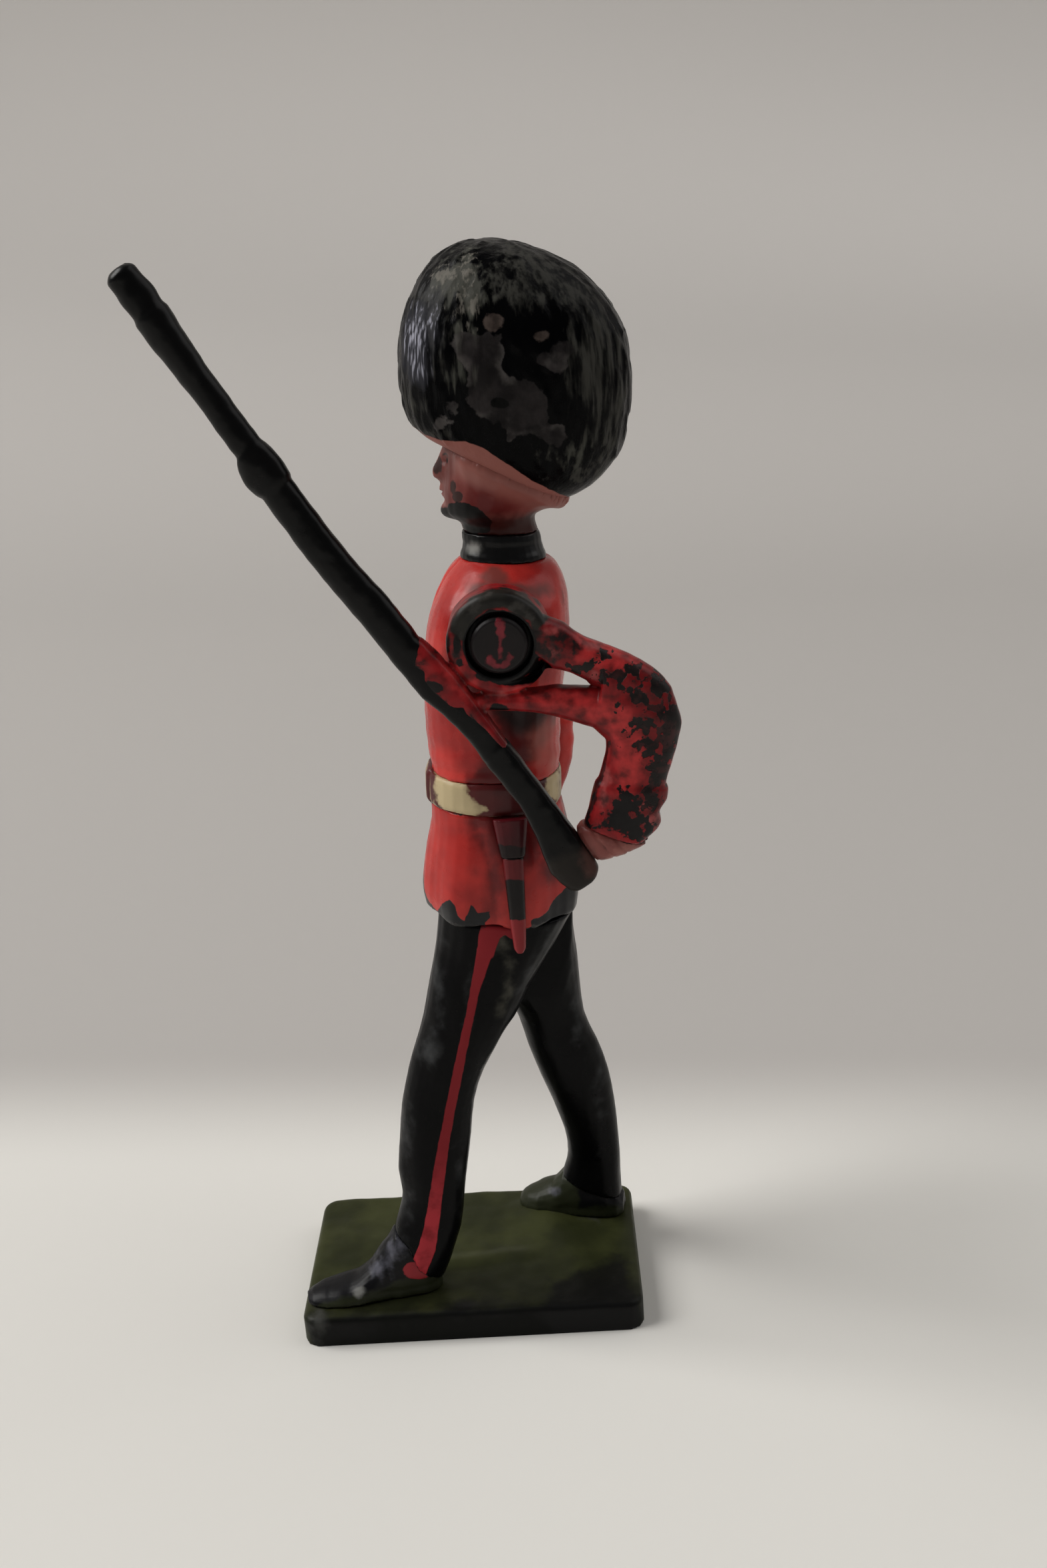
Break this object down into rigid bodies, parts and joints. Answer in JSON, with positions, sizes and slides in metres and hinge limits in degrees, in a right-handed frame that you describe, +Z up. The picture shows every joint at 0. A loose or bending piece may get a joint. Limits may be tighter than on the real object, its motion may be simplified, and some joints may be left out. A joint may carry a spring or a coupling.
{
  "type": "toy soldier figure",
  "caption": "Painted cast-metal marching guardsman on a flat oblong base, with a left arm that turns on a shoulder stud and carries a sloped rifle.",
  "frame": {"origin": "middle of the base's underside, on which the figure stands", "axes": "+Z up; -X the way the soldier faces and marches; -Y its left side, where the arm with the rifle turns"},
  "size_m": [0.0243, 0.0133, 0.0577],
  "materials": {
    "olive_paint": "old gloss enamel, worn to dark metal at the edges",
    "boot_black": "gloss black enamel",
    "trouser_black": "gloss blue-black enamel with a red side stripe",
    "tunic_red": "gloss red enamel, chipped to dark metal",
    "facing_black": "satin black enamel",
    "belt_buff": "old buff enamel",
    "flesh_paint": "gloss flesh enamel",
    "bearskin_black": "gloss black enamel over sculpted fur, worn in patches",
    "rifle_black": "gloss black enamel",
    "stud_metal": "dark bare lead with traces of red enamel"
  },
  "bodies": {
    "figure": {"base": "olive_paint", "left_boot": "boot_black", "right_boot": "boot_black", "left_trouser_leg": "trouser_black", "right_trouser_leg": "trouser_black", "tunic_skirt": "tunic_red", "bayonet_frog": "tunic_red", "bayonet_scabbard": "facing_black", "waist_belt": "belt_buff", "tunic": "tunic_red", "collar": "facing_black", "head": "flesh_paint", "bearskin": "bearskin_black", "right_sleeve": "tunic_red", "right_cuff": "facing_black", "right_hand": "flesh_paint", "shoulder_stud": "stud_metal"},
    "left_arm": {"shoulder_ring": "tunic_red", "sleeve_back_strand": "tunic_red", "sleeve_front_strand": "tunic_red", "upper_sleeve": "tunic_red", "forearm_sleeve": "tunic_red", "left_cuff": "facing_black", "left_hand": "flesh_paint", "rifle_butt": "rifle_black", "rifle_receiver": "tunic_red", "rifle_forestock": "rifle_black", "rifle_band": "rifle_black", "rifle_barrel": "rifle_black", "rifle_nose_cap": "rifle_black"}
  },
  "joints": [
    {"name": "left_arm_swing", "type": "hinge", "parent": "figure", "child": "left_arm", "pos_m": [0.00411, -0.0054, 0.03967], "axis": [0, -1, 0], "continuous": true}
  ]
}
